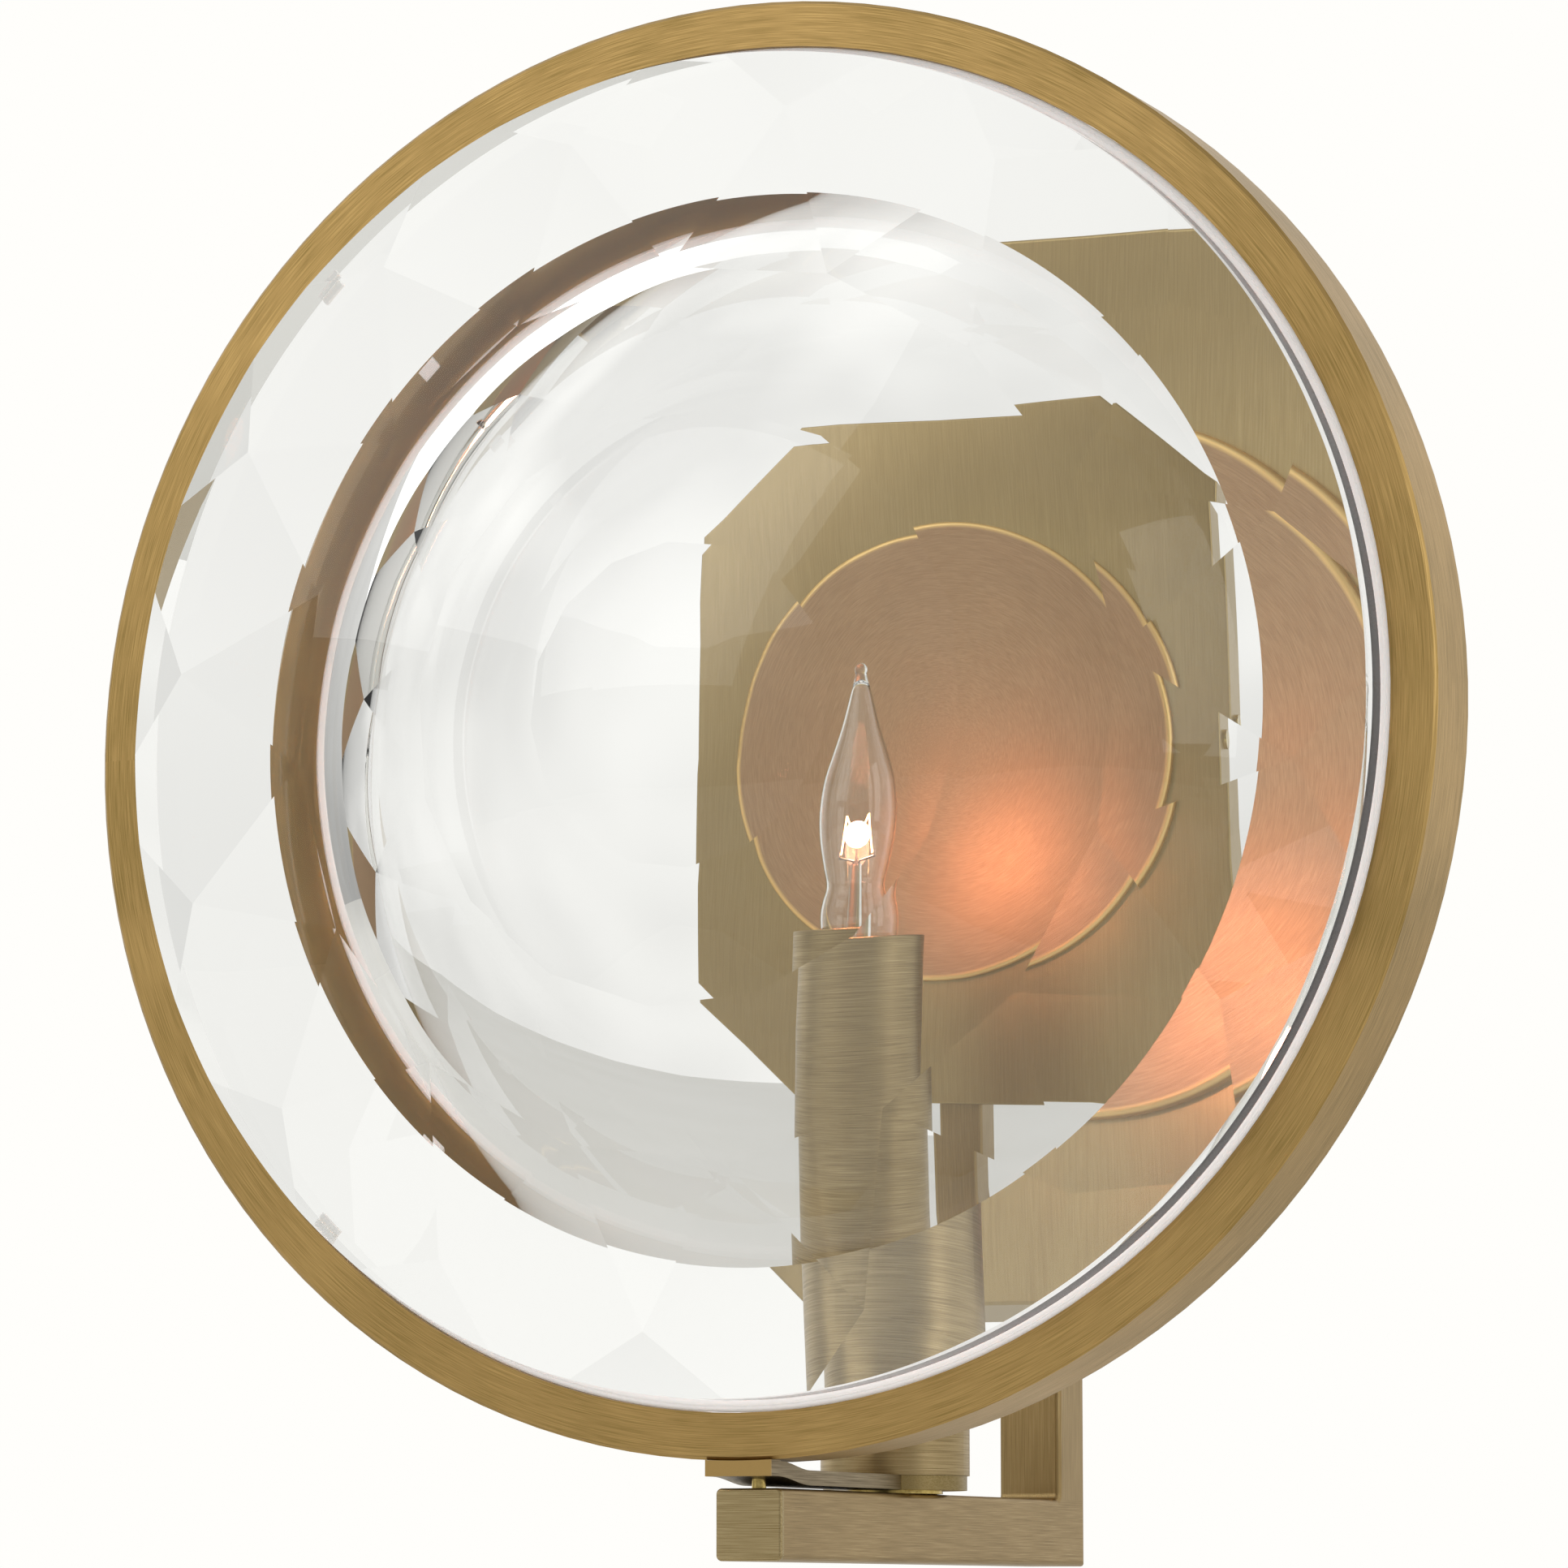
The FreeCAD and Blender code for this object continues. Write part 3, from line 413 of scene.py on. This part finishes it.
def whiteMoulding(name, low, high, roughness):
    # natural nylon or silicone: white, and a faint glow stands in for the light it lets through
    material, tree, shader = newFinish(name)
    shader.inputs["Subsurface Weight"].default_value = 1.0
    shader.inputs["Subsurface Radius"].default_value = (1.0, 1.0, 0.95)
    shader.inputs["Subsurface Scale"].default_value = 0.004
    shader.inputs["Emission Color"].default_value = (1.0, 1.0, 1.0, 1.0)
    shader.inputs["Emission Strength"].default_value = 0.13
    skin = noiseOn(tree, 0.6 * mm, 2.0)
    tint = ramp(tree, skin, 0, [(0.3, low), (0.7, high)])
    dull = addNode(tree, "ShaderNodeMapRange", {"To Min": roughness - 0.05, "To Max": roughness + 0.05},
                   {"Value": (skin, 0)})
    relief = addNode(tree, "ShaderNodeBump", {"Strength": 0.05, "Distance": 0.0001}, {"Height": (skin, 0)})
    plug(tree, shader, (tint, 0), dull, relief)
    return material


def glowingTungsten():
    # white-hot coil
    material, _, shader = newFinish("glowing tungsten", Roughness=0.5)
    shader.inputs["Base Color"].default_value = hexColour("#FFE2B8")
    shader.inputs["Emission Color"].default_value = hexColour("#FFC58C")
    shader.inputs["Emission Strength"].default_value = 12.0
    return material


finish = {
    "ring_brass": brushedBrass("brushed ring brass", "roundY", ringCentre),
    "strap_brass": brushedBrass("brushed strap brass", "alongY", tarnish="#6A5D42", body="#8A7B60",
                                clean="#A6987A", tintPatch=eyeAndTabTint),
    "arm_brass": brushedBrass("brushed arm brass", "elbow", tarnish="#83704C", body="#A0885D",
                              clean="#BDA67A", contrast=0.7),
    "sleeve_brass": brushedBrass("brushed sleeve brass", "roundZ", candleAxis, tarnish="#83714F",
                                 body="#A6926B", clean="#C2AE86"),
    "canopy_brass": brushedBrass("satin canopy brass", "alongZ", tarnish="#937F56", body="#AB9669",
                                 clean="#C0AB82", bump=0.004, contrast=0.4),
    # the disc's rim carries a painted highlight
    "disc_brass": brushedBrass("satin disc brass", "roundY", tarnish="#967A5B", body="#B0926F",
                               clean="#C7AA85", bump=0.004, contrast=0.5, roughness=0.46,
                               tintPatch=paintRimHighlight),
    "clip_nylon": whiteMoulding("natural moulded nylon", "#F1F1EC", "#FAFAF6", 0.34),
    "polished_brass": mottled("polished lacquered brass", "#B39A56", "#D3BC78", 0.16, metallic=1.0,
                              bump=0.03),
    "zinc_steel": mottled("zinc plated steel", "#8E9090", "#B4B6B4", 0.34, metallic=1.0, grainMm=3),
    "lens_glass": crystalGlass(),
    "bulb_glass": blownGlass(),
    "clear_silicone": whiteMoulding("white moulded silicone", "#F4F4F1", "#FCFCFA", 0.28),
    "socket_phenolic": mottled("moulded phenolic", "#15120F", "#221D18", 0.45),
    "socket_brass": mottled("stamped socket brass", "#A98C4C", "#C6A963", 0.3, metallic=1.0),
    "bulb_base_metal": mottled("rolled base brass", "#B0924F", "#CDB36D", 0.28, metallic=1.0),
    "black_insulator": mottled("black vitrite", "#0B0B0C", "#161618", 0.12),
    "filament_glow": glowingTungsten(),
    "lead_metal": mottled("nickel wire", "#8C8880", "#A9A59C", 0.3, metallic=1.0, grainMm=0.5),
    "ground_green": mottled("green dyed steel", "#1E6B38", "#2F8A4B", 0.3, metallic=0.7),
    "wire_black": mottled("black insulation", "#101010", "#1C1C1C", 0.5),
    "wire_white": mottled("white insulation", "#D8D8D2", "#E8E8E3", 0.5),
    "wire_nut_plastic": mottled("orange moulded plastic", "#C2560E", "#D96A1C", 0.35),
}
ownFinish = {"arm_end_cap": brushedBrass("brushed end cap brass", "alongX", tarnish="#8A7850", body="#AB9870",
                                         clean="#CBB98E")}
slotOf = {part["node"]: part["material_slot"] for part in frame["record"]["subparts"]}
for nodeName, node in nodes.items():
    for place in node.material_slots:
        place.material = ownFinish.get(nodeName, finish[slotOf[nodeName]])
print("finishes set")


# ---------- lens ----------
# lengths in mm, angles in degrees, and rows as shares of the lens's radius
lensCut = {"sectors": 16, "phase": 4.0, "rows": (0.909, 0.664, 0.440, 0.240, 0.093), "overrun": 10.0,
           "rimProud": 8.2, "land": 33.3, "hollow": 40.0, "roundSteps": 384, "hollowRings": 56,
           "past": 10.0, "onBall": 0.2, "onGirdle": 0.1, "sharpAt": 2.5}


def lensRows(radius, rise, poleY):
    # facet corners lie on one sphere, each row turned half a sector from the last
    sphere = (radius ** 2 + rise ** 2) / (2 * rise)
    reach = [radius + lensCut["overrun"] * mm] + [radius * share for share in lensCut["rows"]]
    step = 360 / lensCut["sectors"]
    rows = []
    for k, r in enumerate(reach):
        y = poleY + sphere - math.sqrt(sphere ** 2 - r ** 2)
        turn = lensCut["phase"] + (k % 2) * step / 2
        angles = [math.radians(turn + step * j) for j in range(lensCut["sectors"])]
        rows.append([Vector((r * math.cos(a), y, ringCentre.z + r * math.sin(a))) for a in angles])
    return rows


def facetBlank(radius, rise, poleY, backY):
    bm = bmesh.new()
    rows = [[bm.verts.new(p) for p in row] for row in lensRows(radius, rise, poleY)]
    pole = bm.verts.new((0, poleY, ringCentre.z))
    back = [bm.verts.new((v.co.x, backY, v.co.z)) for v in rows[0]]
    count = lensCut["sectors"]
    bm.faces.new(back)
    for j in range(count):
        n = (j + 1) % count
        bm.faces.new((rows[0][j], rows[0][n], back[n], back[j]))
        bm.faces.new((rows[-1][j], rows[-1][n], pole))
    for k, (outer, inner) in enumerate(zip(rows, rows[1:])):
        lead = k % 2
        for j in range(count):
            n = (j + 1) % count
            tip = inner[(j + lead) % count]
            bm.faces.new((outer[j], outer[n], tip))
            bm.faces.new((outer[j], tip, inner[(j + lead - 1) % count]))
    return meshFrom(bm, "facet blank", smooth=False)


def cutWith(target, cutter, operation):
    trim = target.modifiers.new("cut", "BOOLEAN")
    trim.object = cutter
    trim.operation = operation
    trim.solver = "EXACT"
    bpy.context.view_layer.update()
    shaped = bpy.data.meshes.new_from_object(target.evaluated_get(bpy.context.evaluated_depsgraph_get()))
    target.modifiers.clear()
    target.data = shaped
    bpy.data.objects.remove(cutter)


def helperSolid(bm, name):
    solid = bpy.data.objects.new(name, meshFrom(bm, name, smooth=False))
    scene.collection.objects.link(solid)
    return solid


def buildLens():
    radius = (lensHigh.x - lensLow.x) / 2
    poleY, backY = lensLow.y, lensHigh.y
    rimY = ringCentre.y - lensCut["rimProud"] * mm
    blank = bpy.data.objects.new("blank", facetBlank(radius, rimY - poleY, poleY, backY))
    scene.collection.objects.link(blank)
    turns = lensCut["roundSteps"]
    centre = Vector((0, 0, ringCentre.z))
    bm = bmesh.new()
    low, high = poleY - lensCut["past"] * mm, backY + lensCut["past"] * mm
    lathe(bm, [(0, low), (radius, low), (radius, high), (0, high)], centre, turns, "Y")
    cutWith(blank, helperSolid(bm, "girdle"), "INTERSECT")
    rim, depth = radius - lensCut["land"] * mm, lensCut["hollow"] * mm
    ball = (rim ** 2 + depth ** 2) / (2 * depth)
    ballY = backY - depth + ball
    edge = math.asin(rim / ball)
    steps = lensCut["hollowRings"]
    bends = [edge * k / steps for k in range(steps + 1)]
    arc = [(ball * math.sin(bend), ballY - ball * math.cos(bend)) for bend in bends]
    slope = (arc[-1][0] - arc[-2][0], arc[-1][1] - arc[-2][1])
    arc.append((arc[-1][0] + slope[0], arc[-1][1] + slope[1]))
    bm = bmesh.new()
    lathe(bm, arc + [(0, arc[-1][1])], centre, turns, "Y")
    cutWith(blank, helperSolid(bm, "hollow"), "DIFFERENCE")
    mesh = blank.data
    ballCentre = Vector((0, ballY, ringCentre.z))
    for face in mesh.polygons:
        fromBall = abs((face.center - ballCentre).length - ball)
        fromGirdle = abs(math.hypot(face.center.x, face.center.z - ringCentre.z) - radius)
        face.use_smooth = fromBall < lensCut["onBall"] * mm or fromGirdle < lensCut["onGirdle"] * mm
    mesh.set_sharp_from_angle(angle=math.radians(lensCut["sharpAt"]))
    bpy.data.objects.remove(blank)
    lens = newPiece("crystal_lens", mesh, "fixture", "lens_glass", finish["lens_glass"], "lens")
    lens.visible_shadow = False


sealShape = {"lips": 2, "grooveDepth": 0.9, "grooveWidth": 0.28, "crown": 0.35, "shrink": 0.12, "turns": 288,
             "stops": (0.0, 0.12, 0.3, 0.5, 0.7, 0.88, 1.0)}


def buildSeal():
    # two white lips with fine dark grooves between and beside them, in the gap at the front
    low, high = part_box("lens_seal")
    lensEdge = (lensHigh.x - lensLow.x) / 2
    outerEdge = (high.x - low.x) / 2 - sealShape["shrink"] * mm
    innerEdge = lensEdge + sealShape["shrink"] * mm
    lips = sealShape["lips"]
    groove = sealShape["grooveWidth"] * mm
    lip = (outerEdge - innerEdge - groove * (lips - 1)) / lips
    crown, floorY = sealShape["crown"] * mm, low.y + sealShape["grooveDepth"] * mm
    front = []
    for k in range(lips):
        start = innerEdge + k * (lip + groove)
        front.append((start, floorY))
        for t in sealShape["stops"]:
            front.append((start + lip * t, low.y + crown * (2 * t - 1) ** 4))
        front.append((start + lip, floorY))
    bm = bmesh.new()
    back = [(outerEdge, high.y), (innerEdge, high.y)]
    lathe(bm, front + back, (0, 0, ringCentre.z), sealShape["turns"], "Y")
    newPiece("grooved_lens_seal", meshFrom(bm, "grooved lens seal", sharpAt=50), "fixture", "clear_silicone",
             finish["clear_silicone"], "lens_seal")


buildLens()
buildSeal()
print("lens cut")


# ---------- bulb ----------
# solid glass in the tip where the outline is narrower than hollowTo
bulbShape = {"wall": 0.6, "turns": 96, "steps": 8, "hollowTo": 2.3, "hollowTip": 1.6,
             # height above the foot and radius, in mm
             "outline": ((0.0, 5.9), (3.5, 6.6), (8.0, 8.2), (13.0, 9.5), (17.5, 9.75), (21.0, 9.3),
                         (25.2, 8.5), (31.0, 9.7), (38.5, 11.0), (46.0, 11.35), (54.0, 10.5), (61.0, 8.4),
                         (68.0, 5.9), (74.0, 4.1), (79.0, 2.6), (82.0, 1.75), (83.4, 1.95), (84.5, 1.7),
                         (85.2, 0.95), (85.5, 0.0))}


def buildBulbGlass():
    outer = [(r * mm, bulbFoot + height * mm) for height, r in bulbShape["outline"]]
    wall = bulbShape["wall"] * mm
    inner = [(r - wall, z) for r, z in outer if r > bulbShape["hollowTo"] * mm]
    inner.append((0.0, inner[-1][1] + bulbShape["hollowTip"] * mm))
    side = smoothThrough(outer, bulbShape["steps"])
    inside = smoothThrough(inner, bulbShape["steps"])
    side = [(max(r, 0.0), z) for r, z in side]
    inside = [(max(r, 0.0), z) for r, z in inside]
    bm = bmesh.new()
    lathe(bm, side + inside[::-1], candleAxis, bulbShape["turns"])
    mesh = meshFrom(bm, "flame bulb glass", sharpAt=40)
    glass = newPiece("flame_bulb_glass", mesh, "bulb", "bulb_glass", finish["bulb_glass"], "bulb_glass")
    glass.visible_shadow = False


coil = {"radius": 0.3, "wire": 0.09, "pitch": 0.42, "perTurn": 10, "wireSides": 5, "footHalf": 4.8,
        "peakHalf": 3.4, "valley": 0.3}
coilLight = {"power": 0.085, "colour": "#FFA788", "radius": 0.004}


def stationsAlong(points, spacing):
    # evenly spaced (place, direction) pairs along straight runs
    stations = []
    for a, b in zip(points, points[1:]):
        count = max(2, round((b - a).length / spacing))
        stations += [(a.lerp(b, k / count), (b - a).normalized()) for k in range(count)]
    stations.append((points[-1], (points[-1] - points[-2]).normalized()))
    return stations


def tubeAlong(bm, path, radius, sides):
    # closed round tube through a list of points, with a frame carried from point to point
    side = Vector((0, 1, 0))
    rings = []
    for k, point in enumerate(path):
        along = (path[min(k + 1, len(path) - 1)] - path[max(k - 1, 0)]).normalized()
        side = (side - along * side.dot(along)).normalized()
        other = along.cross(side)
        rings.append([bm.verts.new(point + (side * math.cos(a) + other * math.sin(a)) * radius)
                      for a in (2 * math.pi * n / sides for n in range(sides))])
    for a, b in zip(rings, rings[1:]):
        for n in range(sides):
            m = (n + 1) % sides
            bm.faces.new((a[n], a[m], b[m], b[n]))
    bm.faces.new(rings[0][::-1])
    bm.faces.new(rings[-1])


def buildFilament():
    # tungsten coil hung in an M between its two lead wires
    low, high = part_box("bulb_filament")
    bottom, top = low.z + coil["radius"] * mm, high.z - coil["radius"] * mm
    middle = bottom + (top - bottom) * coil["valley"]
    foot, peak = coil["footHalf"] * mm, coil["peakHalf"] * mm
    shape = [(-foot, bottom), (-peak, top), (0, middle), (peak, top), (foot, bottom)]
    line = [Vector((x, candleAxis.y, z)) for x, z in shape]
    reach = (coil["radius"] - coil["wire"]) * mm
    path = []
    level = Vector((0, 1, 0))
    for k, (place, along) in enumerate(stationsAlong(line, coil["pitch"] * mm / coil["perTurn"])):
        turn = 2 * math.pi * k / coil["perTurn"]
        path.append(place + (level * math.cos(turn) + along.cross(level) * math.sin(turn)) * reach)
    bm = bmesh.new()
    tubeAlong(bm, path, coil["wire"] * mm, coil["wireSides"])
    newPiece("coiled_filament", meshFrom(bm, "coiled filament"), "bulb", "filament_glow",
             finish["filament_glow"], "bulb_filament")
    bulbLamp = bpy.data.lights.new("filament light", "POINT")
    bulbLamp.energy = coilLight["power"]
    bulbLamp.color = hexColour(coilLight["colour"])[:3]
    bulbLamp.shadow_soft_size = coilLight["radius"]
    lampHolder = bpy.data.objects.new("filament light", bulbLamp)
    lampHolder.location = (0, candleAxis.y, (bottom + top) / 2)
    scene.collection.objects.link(lampHolder)


buildBulbGlass()
buildFilament()
print("bulb made")


# ---------- threaded and ribbed pieces ----------
threads = {"bulb_shell": {"name": "threaded_bulb_shell", "body": "bulb_base", "pitch": 2.54, "depth": 0.5,
                          "wall": 0.3, "plainTop": 1.6, "plainFoot": 0.6},
           "riser_tube": {"name": "threaded_riser", "body": "fixture", "pitch": 0.94, "depth": 0.36,
                          "wall": 1.3, "plainTop": 0.4, "plainFoot": 0.4}}
threadSteps = {"turns": 72, "perPitch": 8}


def buildThread(nodeName):
    # the wave of the thread runs once round for each pitch climbed, and fades at both ends
    use = threads[nodeName]
    low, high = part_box(nodeName)
    radius = (high.x - low.x) / 2
    centreX, centreY = (low.x + high.x) / 2, (low.y + high.y) / 2
    rolled = nodeName == "bulb_shell"          # a rolled thread shows on the inside too
    rows = math.ceil((high.z - low.z) / (use["pitch"] * mm) * threadSteps["perPitch"])
    turns = threadSteps["turns"]
    bm = bmesh.new()
    outer, inner = [], []
    for r in range(rows + 1):
        z = low.z + (high.z - low.z) * r / rows
        fade = min(1, (high.z - z) / (use["plainTop"] * mm), (z - low.z) / (use["plainFoot"] * mm))
        outerRow, innerRow = [], []
        for k in range(turns):
            angle = 2 * math.pi * k / turns
            wave = 0.5 - 0.5 * math.cos(2 * math.pi * (z - low.z) / (use["pitch"] * mm) - angle)
            cut = wave * use["depth"] * mm * fade
            inside = radius - use["wall"] * mm - (cut if rolled else 0)
            way = Vector((math.cos(angle), math.sin(angle), 0))
            axis = Vector((centreX, centreY, z))
            outerRow.append(bm.verts.new(axis + way * (radius - cut)))
            innerRow.append(bm.verts.new(axis + way * inside))
        outer.append(outerRow)
        inner.append(innerRow)
    for k in range(turns):
        n = (k + 1) % turns
        for a, b in zip(outer, outer[1:]):
            bm.faces.new((a[k], a[n], b[n], b[k]))
        for a, b in zip(inner, inner[1:]):
            bm.faces.new((a[n], a[k], b[k], b[n]))
        bm.faces.new((outer[0][n], outer[0][k], inner[0][k], inner[0][n]))
        bm.faces.new((outer[-1][k], outer[-1][n], inner[-1][n], inner[-1][k]))
    slotName = slotOf[nodeName]
    newPiece(use["name"], meshFrom(bm, use["name"], sharpAt=50), use["body"], slotName, finish[slotName],
             nodeName)


for nodeName in threads:
    buildThread(nodeName)

nutShape = {"ribs": 14, "ribDepth": 0.35, "perRib": 6, "ribFrom": 0.1, "ribTo": 0.93,
            # share of the height and share of the widest radius, from the mouth to the crown
            "outline": ((0.0, 1.0), (0.06, 1.0), (0.09, 0.95), (0.5, 0.89), (0.86, 0.74), (0.95, 0.62),
                        (1.0, 0.40))}


def buildWireNut(nodeName):
    # twist-on connector: moulded cone with grip ribs above a plain skirt
    low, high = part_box(nodeName)
    radius, height = (high.x - low.x) / 2, high.z - low.z
    centre = Vector(((low.x + high.x) / 2, (low.y + high.y) / 2, low.z))
    count = nutShape["ribs"] * nutShape["perRib"]
    side = smoothThrough(nutShape["outline"], 3)
    bm = bmesh.new()
    rings = []
    for share, reach in side:
        ribbed = 1 if nutShape["ribFrom"] < share < nutShape["ribTo"] else 0
        ring = []
        for k in range(count):
            angle = 2 * math.pi * k / count
            groove = (0.5 - 0.5 * math.cos(nutShape["ribs"] * angle)) * nutShape["ribDepth"] * mm * ribbed
            r = radius * min(reach, 1.0) - groove
            ring.append(bm.verts.new(latheAt(r, angle, height * share, centre, "Z")))
        rings.append(ring)
    for a, b in zip(rings, rings[1:]):
        for k in range(count):
            n = (k + 1) % count
            bm.faces.new((a[k], a[n], b[n], b[k]))
    bm.faces.new(rings[0][::-1])
    bm.faces.new(rings[-1])
    slotName = slotOf[nodeName]
    newPiece("ribbed_" + nodeName, meshFrom(bm, nodeName, sharpAt=50), "fixture", slotName, finish[slotName],
             nodeName)


for nodeName in ("wire_nut_line", "wire_nut_neutral"):
    buildWireNut(nodeName)
print("threads and connectors made")


# ---------- floor ----------
floorShape = {"half": 4.0, "below": 0.25}      # metres, the second from the ring's foot


def buildFloor():
    bm = bmesh.new()
    half, level = floorShape["half"], ringLow.z - floorShape["below"]
    corners = [(-half, -half), (half, -half), (half, half), (-half, half)]
    bm.faces.new([bm.verts.new((x, y, level)) for x, y in corners])
    mesh = meshFrom(bm, "pale floor", smooth=False)
    material, tree, shader = newFinish("matt pale floor paint", Roughness=0.8)
    place = addNode(tree, "ShaderNodeTexCoord")
    cloud = addNode(tree, "ShaderNodeTexNoise", {"Scale": 2.0}, {"Vector": (place, "Object")})
    tint = ramp(tree, cloud, 0, [(0.3, "#E9E8E4"), (0.7, "#EEEDEA")])
    tree.links.new(tint.outputs[0], shader.inputs["Base Color"])
    mesh.materials.append(material)
    floor = bpy.data.objects.new("floor", mesh)
    scene.collection.objects.link(floor)


buildFloor()
